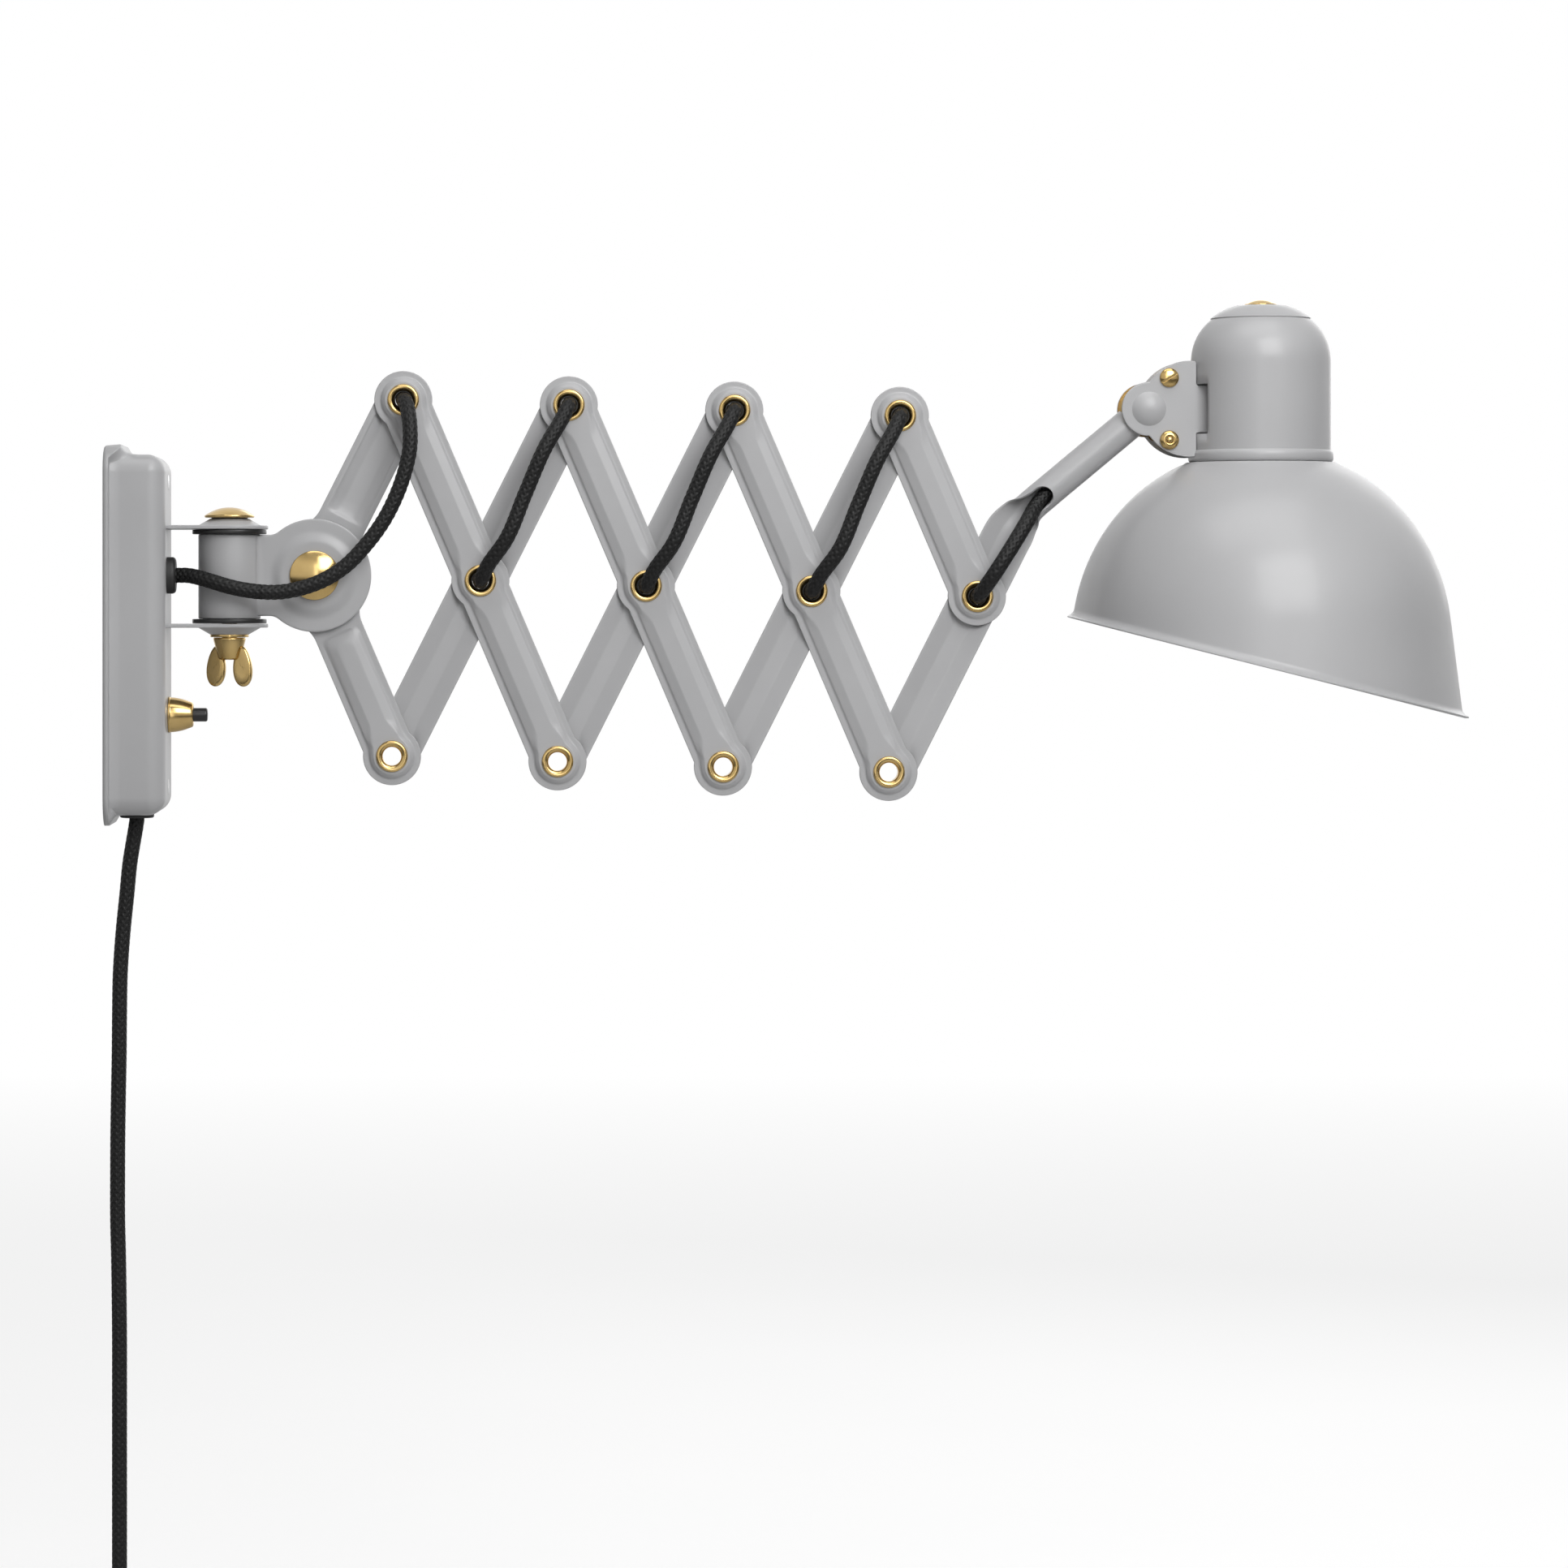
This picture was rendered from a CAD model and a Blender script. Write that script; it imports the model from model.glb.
"""A scissor arm wall lamp: pressed grey housing, links and shade, brass fasteners and a black braided cord.
Shapes are worked out in millimetres, X out from the wall, Z up, and the camera looks along +Y."""

import math

import bpy
import numpy as np
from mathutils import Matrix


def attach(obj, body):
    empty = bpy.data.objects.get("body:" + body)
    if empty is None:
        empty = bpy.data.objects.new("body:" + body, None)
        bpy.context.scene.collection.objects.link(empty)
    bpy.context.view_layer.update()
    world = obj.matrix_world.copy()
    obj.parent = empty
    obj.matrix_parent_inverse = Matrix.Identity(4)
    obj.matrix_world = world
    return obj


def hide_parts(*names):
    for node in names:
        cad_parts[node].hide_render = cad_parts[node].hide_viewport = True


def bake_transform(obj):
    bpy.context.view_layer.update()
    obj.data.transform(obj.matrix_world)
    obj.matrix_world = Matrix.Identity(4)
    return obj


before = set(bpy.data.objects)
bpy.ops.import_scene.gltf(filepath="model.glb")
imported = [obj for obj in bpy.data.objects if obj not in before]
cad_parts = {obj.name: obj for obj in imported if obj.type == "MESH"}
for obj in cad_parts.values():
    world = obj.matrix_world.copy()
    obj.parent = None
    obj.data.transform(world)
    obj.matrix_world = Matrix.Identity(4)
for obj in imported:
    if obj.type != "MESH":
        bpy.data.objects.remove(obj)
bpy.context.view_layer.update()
MM = 0.001
TURN = 2 * np.pi


# Camera at the photograph's viewing angle

def add_camera():
    data = bpy.data.cameras.new("camera")
    data.lens = 111.4
    data.sensor_width = 36
    data.sensor_fit = "HORIZONTAL"
    data.shift_x = (966 - 600) / 1932
    data.shift_y = -(966 - 740) / 1932
    data.clip_end = 30
    cam = bpy.data.objects.new("camera", data)
    cam.location = (0.1991, -2.55, 0.0179)
    cam.rotation_euler = (math.radians(90), 0, 0)
    bpy.context.scene.collection.objects.link(cam)
    bpy.context.scene.camera = cam


add_camera()


# Places, as in the part's source

def heading(angle):
    """Unit vector in the arm's plane at an angle above level."""
    return np.array([math.cos(math.radians(angle)), 0.0, math.sin(math.radians(angle))])


LINK = 103.2
UP, DOWN = 65.07 - 1.82, -65.07 - 1.82
PITCH = 2 * LINK * math.cos(math.radians(65.07))
SWIVEL = np.array([63.8, 0, 30.5])
BASE = SWIVEL + [44.9, 0, 0.6]


def mid(i):
    return BASE + i * PITCH * heading(-1.82)


def top(i):
    return mid(i - 1) + LINK * heading(UP)


def low(i):
    return mid(i - 1) + LINK * heading(DOWN)


TUBE = 39.8
BEND_L = 46.3
BEND = mid(4) + BEND_L * heading(UP)
BALL = BEND + 88.8 * heading(TUBE)
HEAD_X = BALL[0] + 60.1
NECK_Z = BALL[2] - 27.8
CORD_R = 4


# Meshes from grids

def grid_quads(rows, columns, wrap=False):
    """Quads of a grid of rows by columns points, row by row; wrap joins the last column to the first."""
    i, j = np.meshgrid(np.arange(rows - 1), np.arange(columns if wrap else columns - 1), indexing="ij")
    k = (j + 1) % columns
    return np.stack([i * columns + j, (i + 1) * columns + j, (i + 1) * columns + k, i * columns + k], -1).reshape(-1, 4)


def joined(patches):
    """Several grids in one array of points and one of quads; a patch is a grid and whether it closes round."""
    starts = np.cumsum([0] + [grid.shape[0] * grid.shape[1] for grid, _ in patches])
    points = np.concatenate([grid.reshape(-1, grid.shape[-1]) for grid, _ in patches])
    quads = np.concatenate([grid_quads(*grid.shape[:2], wrap) + start
                            for (grid, wrap), start in zip(patches, starts)])
    return points, quads


def merged(points, quads):
    """Points that lie on each other, on seams and at poles, made one."""
    _, first, back = np.unique(np.round(points / 1e-5).astype(np.int64), axis=0,
                               return_index=True, return_inverse=True)
    return points[first], back.reshape(-1)[quads]


def outward(points, quads):
    """Faces of a closed form turned over if its signed volume comes out negative."""
    a, b, c, d = points[quads].transpose(1, 0, 2)
    volume = np.einsum("ij,ij->", a, np.cross(b, c)) + np.einsum("ij,ij->", a, np.cross(c, d))
    return quads if volume > 0 else quads[:, ::-1]


def split_quads(quads):
    """Quads that lost one corner at a seam become triangles, and those that lost more are left out."""
    same = quads == np.roll(quads, -1, axis=1)
    lost = same.sum(1)
    return quads[lost == 0], quads[lost == 1][~same[lost == 1]].reshape(-1, 3)


def new_piece(name, points, quads, body, slot, material, nodes=(), sharp=38, uv=None):
    """A mesh in metres from points in millimetres, riding on a body and standing for CAD nodes."""
    whole, three = split_quads(quads)
    mesh = bpy.data.meshes.new(name)
    mesh.from_pydata((points * MM).tolist(), [], whole.tolist() + three.tolist())
    if uv is not None:
        layer = mesh.uv_layers.new(name="UVMap")
        loops = np.empty(len(mesh.loops), np.int32)
        mesh.loops.foreach_get("vertex_index", loops)
        layer.data.foreach_set("uv", uv[loops].astype(np.float32).ravel())
    mesh.polygons.foreach_set("use_smooth", np.full(len(mesh.polygons), True))
    mesh.set_sharp_from_angle(angle=math.radians(sharp))
    mesh.materials.append(material)
    mesh.update()
    piece = bpy.data.objects.new(name, mesh)
    bpy.context.scene.collection.objects.link(piece)
    if nodes:
        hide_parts(*nodes)
    if body:
        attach(piece, body)
    return piece


def closed_piece(name, patches, body, slot, material, nodes=(), sharp=38):
    """A closed form made of grids whose borders meet."""
    points, quads = merged(*joined(patches))
    return new_piece(name, points, outward(points, quads), body, slot, material, nodes, sharp)


# Lines and profiles

def soft(value, at, heights, reach):
    """Straight stretches through the given heights, rounded by a mean over a reach on both sides."""
    taps = np.linspace(-reach, reach, 9)
    return sum(np.interp(value + tap, at, heights) for tap in taps) / len(taps)


def ease(value, start, end):
    """Zero before the start, one after the end, and a smooth rise between them."""
    t = np.clip((value - start) / (end - start), 0, 1)
    return t * t * (3 - 2 * t)


def blend_max(a, b, reach):
    """The larger of two fields, with the crease between them rounded over a reach."""
    return np.maximum(a, b) + np.clip(reach - np.abs(a - b), 0, None) ** 2 / (4 * reach)


def blend_min(a, b, reach):
    return -blend_max(-a, -b, reach)


def edge_drop(inset, radius):
    """How far a face falls at an inset from its edge: a quarter circle of the radius."""
    e = np.clip(inset, 0, radius)
    return radius - np.sqrt(radius ** 2 - (radius - e) ** 2)


def rounded(corners, radii, steps=6):
    """A line whose corners are arcs: each arc touches both sides, and its points turn evenly round its centre."""
    p, r = np.asarray(corners, float), np.asarray(radii, float)[1:-1, None]
    back, ahead = p[:-2] - p[1:-1], p[2:] - p[1:-1]
    back /= np.linalg.norm(back, axis=1)[:, None]
    ahead /= np.linalg.norm(ahead, axis=1)[:, None]
    half = np.arccos(np.clip((back * ahead).sum(1), -1, 1))[:, None] / 2
    middle = (back + ahead) / np.linalg.norm(back + ahead, axis=1)[:, None]
    centre = p[1:-1] + middle * r / np.sin(half)
    start, end = p[1:-1] + back * r / np.tan(half) - centre, p[1:-1] + ahead * r / np.tan(half) - centre
    sweep = np.pi - 2 * half
    t = np.linspace(0, 1, steps + 1)[None, :, None]
    arc = centre[:, None] + (np.sin((1 - t) * sweep[:, None]) * start[:, None]
                             + np.sin(t * sweep[:, None]) * end[:, None]) / np.sin(sweep)[:, None]
    return np.concatenate([p[:1], arc.reshape(-1, 2), p[-1:]])


def arc(centre, radius, start, end, steps=12):
    """Points on a circle between two angles in degrees."""
    a = np.radians(np.linspace(start, end, steps + 1))
    return np.stack([centre[0] + radius * np.cos(a), centre[1] + radius * np.sin(a)], 1)


def dome_line(radius, height, steps=16):
    """A round cap from its edge to its pole: points on the circle through both."""
    ball = (radius ** 2 + height ** 2) / (2 * height)
    a = np.linspace(math.asin(radius / ball), 0, steps + 1)
    return np.stack([ball * np.sin(a), ball * np.cos(a) - ball + height], 1)


AXES = {"x": (1, 2, 0), "-y": (0, 2, 1), "z": (0, 1, 2)}


def turned_grid(profile, centre, axis, sides=96):
    """A profile of radius and distance along an axis, carried round it in equal turns."""
    r, h = np.asarray(profile, float).T
    a = np.arange(sides) / sides * TURN
    across, up, along = AXES[axis]
    grid = np.empty((len(r), sides, 3))
    grid[..., across] = r[:, None] * np.cos(a)
    grid[..., up] = r[:, None] * np.sin(a)
    grid[..., along] = (-h if axis == "-y" else h)[:, None]
    return grid + np.asarray(centre, float), True


def turned(name, profile, centre, axis, body, slot, material, nodes=(), sides=96, sharp=38):
    return closed_piece(name, [turned_grid(profile, centre, axis, sides)], body, slot, material, nodes, sharp)


# Pressings: one plan, with a height in front of it and one behind

def ring_angles(radius, columns, sides, step=4):
    """Angles round a disc: those of a strip's columns where a strip leaves it, even ones elsewhere."""
    reach = np.degrees(np.arcsin(columns / radius))
    joins = [np.mod(reach if side > 0 else 180 - reach, 360) for side in sides]
    free = np.arange(0, 360, step)
    for side in sides:
        off = np.abs((free - (0 if side > 0 else 180) + 180) % 360 - 180)
        free = free[off > reach.max() + 0.3 * step]
    return np.radians(np.unique(np.concatenate(joins + [free])))


def disc_patch(centre, radii, angles):
    """Rings of the given radii round a centre; a ring may have a radius for each angle."""
    r = np.asarray(radii)
    r = r[:, None] if r.ndim == 1 else r
    return np.stack(np.broadcast_arrays(centre + r * np.cos(angles), r * np.sin(angles)), -1), True


def strip_patch(start, end, rows, columns, widths=None):
    """Columns at fixed distances from the middle line, from one curved end to the other; widths scale them."""
    x = start + (end - start) * rows[:, None]
    z = columns * (1 if widths is None else widths[:, None])
    return np.stack(np.broadcast_arrays(x, z), -1), False


def pressed(plan, quads, front, back, place):
    """The plan set at its front and at its back heights, with walls along every free edge."""
    count = len(plan)
    x, z = plan.T
    points = np.concatenate([place(x, z, front), place(x, z, back)])
    edges = np.stack([quads, np.roll(quads, -1, 1)], -1).reshape(-1, 2)
    _, where, uses = np.unique(np.sort(edges, 1) @ [count, 1], return_index=True, return_counts=True)
    a, b = edges[where[uses == 1]].T
    walls = np.stack([a, a + count, b + count, b], 1)[a != b]
    return points, np.concatenate([quads, quads[:, ::-1] + count, walls])


def pressed_piece(name, plan, quads, front, back, place, body, slot, material, nodes=(), sharp=38):
    points, quads = merged(*pressed(plan, quads, front, back, place))
    return new_piece(name, points, outward(points, quads), body, slot, material, nodes, sharp)


def on_layer(place, angle, side):
    """Puts a plan on the arm's front (-1) or rear (1) layer, its length along an angle."""
    along, up = heading(angle), heading(angle + 90)
    return lambda x, z, h: (place + x[:, None] * along + z[:, None] * up
                            + (side * (0.15 + h))[:, None] * np.array([0, 1, 0]))


# Finishes

def new_material(name):
    material = bpy.data.materials.new(name)
    material.use_nodes = True
    tree = material.node_tree
    tree.nodes.clear()
    out = tree.nodes.new("ShaderNodeOutputMaterial")
    shader = tree.nodes.new("ShaderNodeBsdfPrincipled")
    tree.links.new(shader.outputs[0], out.inputs[0])
    return material, tree, shader


def linked(tree, kind, inputs=(), values=(), settings=()):
    """A node of a kind, with its linked inputs, its fixed inputs and its settings; returns its first output."""
    node = tree.nodes.new(kind)
    for key, value in settings:
        setattr(node, key, value)
    for key, value in values:
        node.inputs[key].default_value = value
    for key, socket in inputs:
        tree.links.new(socket, node.inputs[key])
    return node.outputs[0]


def noise(tree, at, scale, detail=3):
    node = tree.nodes.new("ShaderNodeTexNoise")
    node.inputs["Scale"].default_value = scale
    node.inputs["Detail"].default_value = detail
    tree.links.new(at, node.inputs["Vector"])
    return node.outputs["Fac"]


def ramp(tree, value, stops):
    node = tree.nodes.new("ShaderNodeValToRGB")
    band = node.color_ramp
    band.elements[0].position, band.elements[0].color = stops[0][0], (*stops[0][1], 1)
    band.elements[1].position, band.elements[1].color = stops[-1][0], (*stops[-1][1], 1)
    for place, colour in stops[1:-1]:
        band.elements.new(place).color = (*colour, 1)
    tree.links.new(value, node.inputs[0])
    return node.outputs[0]


def spread(tree, value, low_value, high_value, start=0.0, end=1.0):
    return linked(tree, "ShaderNodeMapRange", [("Value", value)],
                  [("From Min", start), ("From Max", end), ("To Min", low_value), ("To Max", high_value)])


def satin(name, dark, light, rough, metallic=0.0, grain=900, depth=0.02, cloud=14, gloss=0.06, coat=0.0,
          stretch=(1, 1, 1), shine=0.5):
    """A coated or moulded surface: a broad cloud of two close tones, a fine grain and a slightly uneven gloss."""
    material, tree, shader = new_material(name)
    at = tree.nodes.new("ShaderNodeTexCoord").outputs["Object"]
    tree.links.new(ramp(tree, noise(tree, at, cloud), [(0.3, dark), (0.7, light)]), shader.inputs["Base Color"])
    drawn = linked(tree, "ShaderNodeMapping", [("Vector", at)], [("Scale", stretch)])
    height = noise(tree, drawn, grain, 2)
    tree.links.new(spread(tree, noise(tree, drawn, cloud * 9), rough - gloss, rough + gloss), shader.inputs["Roughness"])
    shader.inputs["Metallic"].default_value = metallic
    shader.inputs["Specular IOR Level"].default_value = shine
    shader.inputs["Coat Weight"].default_value = coat
    shader.inputs["Coat Roughness"].default_value = 0.16
    tree.links.new(linked(tree, "ShaderNodeBump", [("Height", height)], [("Strength", 0.3), ("Distance", depth * MM)]),
                   shader.inputs["Normal"])
    return material


GREY = satin("grey_paint", (0.405, 0.405, 0.412), (0.425, 0.425, 0.432), 0.42, grain=1500, depth=0.03, coat=0.15)
ENAMEL = satin("white_enamel", (0.8, 0.8, 0.79), (0.84, 0.84, 0.83), 0.3, grain=1200)
BRASS = satin("polished_brass", (0.52, 0.36, 0.14), (0.64, 0.46, 0.20), 0.2, metallic=1.0, grain=700, depth=0.008,
              cloud=60, gloss=0.05)
STEEL = satin("zinc_steel", (0.5, 0.5, 0.5), (0.6, 0.6, 0.61), 0.3, metallic=1.0)
RUBBER = satin("black_rubber", (0.012, 0.012, 0.012), (0.02, 0.02, 0.02), 0.55, grain=500, depth=0.05)
PLASTIC = satin("black_plastic", (0.01, 0.01, 0.01), (0.018, 0.018, 0.018), 0.35)
CERAMIC = satin("white_ceramic", (0.7, 0.68, 0.62), (0.78, 0.76, 0.7), 0.25, grain=200)
BRAID = satin("black_braid", (0.003, 0.003, 0.003), (0.010, 0.010, 0.010), 0.5, grain=2600, depth=0.1, cloud=700, gloss=0.1,
              shine=0.3)


# Sheets: one surface, thickened inwards

def sheet_piece(name, points, quads, centre, thick, body, slot, material, nodes=(), sharp=38):
    """A surface whose faces look away from a centre, given its thickness on the inner side."""
    points, quads = merged(points, quads)
    a, b, c, d = points[quads].transpose(1, 0, 2)
    normals = np.cross(c - a, d - b)
    if np.einsum("ij,ij->", normals, (a + c) / 2 - centre) < 0:
        quads = quads[:, ::-1]
    piece = new_piece(name, points, quads, body, slot, material, nodes, sharp)
    skin = piece.modifiers.new("sheet", "SOLIDIFY")
    skin.thickness, skin.offset = thick * MM, -1
    return piece


# Housing

SIDE_EDGE = [(0, 5.4), (2.3, 5.4), (2.65, 5.25), (2.8, 4.9), (2.8, 3.2), (2.8, 1.2), (3.1, 0.5), (3.9, 0.05), (9, 0)]
TOP_EDGE = [(0, 4), (0.9, 4.75), (7.9, 5.35), (8.8, 5.15), (9.4, 4.2), (10.3, 2.6), (11.8, 1.2), (14, 0.35), (17.5, 0)]
FOOT_EDGE = [(0, 5.4), (2.3, 5.4), (2.65, 5.25), (2.8, 4.9), (3.6, 3.6), (4.5, 2.2), (5.4, 0.9), (6.4, 0.15), (9.5, 0)]


def cover_piece():
    """Rings round a rounded rectangle: each ring has a depth and an outset from the rectangle, mixed from the
    profiles of the sides, the top lip and the foot by the outline's own direction; the front edge is a quarter circle."""
    turn = np.linspace(0, 90, 13)
    spans = [(32, 94, 0, 10), (-32, 94, 90, 26), (-32, -94, 180, 10), (32, -94, 270, 26)]
    corner, angle = [], []
    for y, z, start, count in spans:
        for a in turn:
            corner.append((y, z))
            angle.append(a + start)
    corner, angle = np.array(corner, float), np.radians(angle)
    flat = np.stack([np.cos(angle), np.sin(angle)], 1)
    lift, drop = ease(flat[:, 1], 0.45, 0.95)[:, None], ease(-flat[:, 1], 0.45, 0.95)[:, None]
    edge = (np.array(SIDE_EDGE) * (1 - lift - drop)[..., None] + np.array(TOP_EDGE) * lift[..., None]
            + np.array(FOOT_EDGE) * drop[..., None]).transpose(1, 0, 2)
    a = np.radians(np.linspace(0, 90, 15))
    front = np.concatenate([[[22.2, 0]], np.stack([22.2 + 9.5 * np.sin(a), 9.5 * np.cos(a) - 9.5], 1)[1:],
                            [[31.7, -14], [31.7, -22], [31.7, -32]]])
    rows = np.concatenate([edge, np.broadcast_to(front[:, None], (len(front), len(angle), 2))])
    depth, out = rows[..., 0], rows[..., 1]
    radius = np.clip(9.5 + out, 0, None)[..., None]
    inner = np.clip(-9.5 - out, 0, None)[..., None]
    centre = np.sign(corner) * (np.abs(corner) - 9.5 - inner)
    plan = centre + radius * flat
    steps = np.linspace(0, 1, 9)[1:-1, None, None]
    columns = []
    for k in range(4):
        block = plan[:, 13 * k:13 * k + 13]
        after = plan[:, (13 * k + 13) % 52]
        depths = depth[:, 13 * k:13 * k + 13]
        ends = np.stack([block[:, -1], after], 1)
        gap = ends[:, :1] + (ends[:, 1:] - ends[:, :1]) * steps.reshape(1, -1, 1)
        gap_depth = depths[:, -1:] + (depth[:, (13 * k + 13) % 52][:, None] - depths[:, -1:]) * steps.reshape(1, -1)
        columns += [np.concatenate([depths[..., None], block], -1), np.concatenate([gap_depth[..., None], gap], -1)]
    grid = np.concatenate(columns, 1)
    points, quads = joined([(grid, True)])
    return sheet_piece("cover", points, quads, np.array([0.0, 0, 0]), 1.2, "housing", "grey_paint", GREY, ["cover"], 30)


cover_piece()

BEZEL = [(9.2, 0), (9.5, 0.25), (9.5, 0.9), (9.25, 1.1), (9.2, 1.6), (9.1, 3), (8.8, 5), (8.35, 7.2), (7.75, 9.2), (7.15, 10.8),
         (6.75, 11.9), (6.5, 12.5), (6.2, 12.95), (5.7, 13.2), (4.6, 13.2), (4.05, 13.05), (3.8, 12.6), (3.8, 6.8), (5.2, 6.7),
         (5.2, 0), (9.2, 0)]
turned("switch_bezel", BEZEL, (31.7, 0, -42.1), "x", "housing", "brass", BRASS, ["switch_bezel"], sharp=50)
turned("switch_button", [(0, 5.6), (4.8, 5.6), (4.8, 6.6), (3.6, 6.65)]
       + arc((2.5, 19.5), 1.1, 0, 90, 6).tolist() + [(1.2, 20.72), (0, 20.75)],
       (31.7, 0, -42.1), "x", "button", "black_plastic", PLASTIC, ["switch_button"], 64)


# Swivel: bolt, wing nut, barrel and the pressed plate

def mushroom(radius, height, rim, shank, length):
    """A domed head with a rounded rim, on a shank that goes down by a length."""
    dome = dome_line(radius - 0.45 * rim, height - rim)
    edge = arc((radius - 0.5 * rim, 0.5 * rim), 0.5 * rim, -90, 65, 8)
    return ([(0, -length), (shank, -length), (shank, 0)] + edge.tolist()
            + (dome[1:] + [0, rim]).tolist())


turned("pivot_bolt", mushroom(13.2, 5.5, 1.5, 4, 30.9 + 30.4 + 1.4 + 0.2 + 11.7 - 1.7), SWIVEL + [0, 0, 30.9], "z",
       "housing", "brass", BRASS, ["pivot_bolt"], sharp=60)


def washer(name, hole, radius, low, high, slot, material, nodes=()):
    loop = rounded([((hole + radius) / 2, low), (radius, low), (radius, high), (hole, high), (hole, low), ((hole + radius) / 2, low)],
                   [0, 0.2, 0.2, 0.2, 0.2, 0], 4)
    turned(name, loop, SWIVEL, "z", "housing", slot, material, nodes, 96, 60)


washer("bolt_washer", 4.2, 9.5, 30.4, 30.9, "black_plastic", PLASTIC, ["pivot_washers"])
washer("nut_washer", 4.2, 10.15, -31.8, -30.4, "brass", BRASS)


def wing_nut_piece():
    """A tapered hub, and two slabs: each ring is an egg, narrower at the top, drawn in towards its middle while its
    height goes round the slab's soft edge; the whole is turned about the bolt."""
    hub = turned_grid([(4.1, 0.3), (8.2, 0), (8.6, 0.5), (8.5, 1.2), (6.0, 10.6), (5.3, 11.5), (3.8, 11.7), (0, 11.7), (0, 10.5),
                       (4.1, 10.5), (4.1, 0.3)], (0, 0, 0), "z", 72)[0]
    a = np.arange(72) / 72 * TURN
    half = [(0, 1.6), (0.5, 1.6), (0.8, 1.6), (0.88, 1.52), (0.95, 1.25), (0.99, 0.9), (1, 0.5)]
    share, height = np.array(half + [(s, -h) for s, h in half[::-1]]).T
    patches = [(hub, True)]
    for side in (-1, 1):
        x = side * (7.6 + 0.5 * np.sin(a)) + share[:, None] * 5.2 * np.cos(a) * (1 + 0.2 * np.sin(a))
        z = 15.1 + share[:, None] * 10.7 * np.sin(a)
        patches.append((np.stack(np.broadcast_arrays(x, height[:, None], z), -1), True))
    points, quads = joined(patches)
    turn = math.radians(-22)
    points = np.stack([points[:, 0] * math.cos(turn) - points[:, 1] * math.sin(turn),
                       points[:, 0] * math.sin(turn) + points[:, 1] * math.cos(turn), -points[:, 2]], 1)
    count = (hub.shape[0] - 1) * 72
    points, quads = merged(points + SWIVEL - [0, 0, 32], quads)
    quads = np.concatenate([outward(points, part) for part in np.split(quads, [count, count + (len(quads) - count) // 2])])
    return new_piece("wing_nut", points, quads, "wing", "brass", BRASS, ["wing_nut"], 50)


wing_nut_piece()


def necked_strip(radius, half, width, end, rows, shares, side):
    """From a disc's edge along the half line on one side: each column keeps its share of the width, and leaves the
    disc at its share of the angle where the fillet touches."""
    a = np.radians(shares * half)
    x0, z0 = radius * np.cos(a), radius * np.sin(a)
    x = x0 + (end - x0) * rows[:, None]
    z = shares * width(x) + (z0 - shares * width(x0)) * (1 - rows[:, None]) ** 2
    return np.stack([side * x, z], -1), False


def knuckle_pieces():
    """The barrel is a turned tube. The plate is pressed: a disc and a strap joined by fillets, a raised boss in soft
    steps, rounded edges, and a face that turns up into the barrel along a 3 mm circle."""
    def width(x):
        return np.where(x > 23.72, 21.3, 29.3 - np.sqrt(np.clip(64 - (x - 23.72) ** 2, 0, None)))

    shares = np.linspace(-1, 1, 41)
    shares = np.sign(shares) * (1 - (1 - np.abs(shares)) ** 1.5)
    radii = np.array([4.1, 8, 12, 15.5, 16.5, 17.2, 18, 19, 20, 21, 22, 23, 24, 25, 26.5, 28, 28.9, 29.2, 29.4, 29.55, 29.65, 29.7])
    angles = ring_angles(29.7, 29.7 * np.sin(np.radians(51.0 * shares)), [-1], 3)
    disc = disc_patch(0, radii, angles)
    end = 44.9 - 14.4
    rows = np.concatenate([np.linspace(0, 0.5, 9), np.linspace(0.5, 1, 15)[1:]])
    strap = necked_strip(29.7, 51.0, width, end, rows, shares, -1)
    plan, quads = merged(*joined([disc, strap]))
    x, z = plan.T
    r = np.hypot(x, z)
    fillet_inset = np.hypot(-x - 23.72, 29.3 - np.abs(z)) - 8
    inset = np.where(-x > 23.72, 21.3 - np.abs(z), fillet_inset)
    inset = np.where((x < 0) & (-x > 18.69), np.maximum(inset, 29.7 - r), 29.7 - r)
    inset = np.clip(inset, 0, None)
    boss = 1.85 * (1 - ease(r, 17.3, 23.2))
    reach = np.clip(44.9 + x, 0, None)
    d = np.clip(17.31 - reach, 0, 2.95)
    climb = 3 - np.sqrt(np.clip(9 - d ** 2, 0, None))
    drop = edge_drop(inset, 0.8)
    front, back = 5.65 + boss + climb - drop, 2.65 + 0.35 * drop
    def place(px, pz, h):
        return np.stack([BASE[0] + px, -h, BASE[2] + pz], 1)
    pressed_piece("knuckle_plate", plan, quads, front, back, place, "swivel", "grey_paint", GREY, ["knuckle"], 45)
    tube = rounded([(15, -22.15), (16.35, -22.15), (16.35, 22.15), (13.85, 22.15), (13.85, -22.15), (15, -22.15)],
                   [0, 0.7, 0.7, 0.5, 0.5, 0], 4)
    turned("knuckle_barrel", tube, SWIVEL, "z", "swivel", "grey_paint", GREY, [], 128)


knuckle_pieces()
turned("base_bolt", mushroom(12.95, 4.45, 1.2, 4, 7.75 + 2.65 + 4.4), BASE - [0, 7.75, 0], "-y", "swivel", "brass", BRASS,
       ["base_bolt"], sharp=60)


# Arm: pressed links

def crown(inset, near):
    """Inset at which the pressing reaches its crown: less round the eyelets than along the shank."""
    return 5.75 + 3.0 * near


def link_heights(e, near, hard):
    top = crown(e, near)
    front = 1.2 + 0.9 * soft(e, [3.2, 3.9], [0, 1], 0.3) + 1.5 * soft((e - 3.8) / (top - 3.8), [0, 1], [0, 1], 0.035)
    back = 2.4 * soft((e - 1.0) / (top + 0.1 - 1.0), [0, 1], [0, 1], 0.06)
    drop = edge_drop(hard, 0.35)
    return front - drop, back + drop


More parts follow.
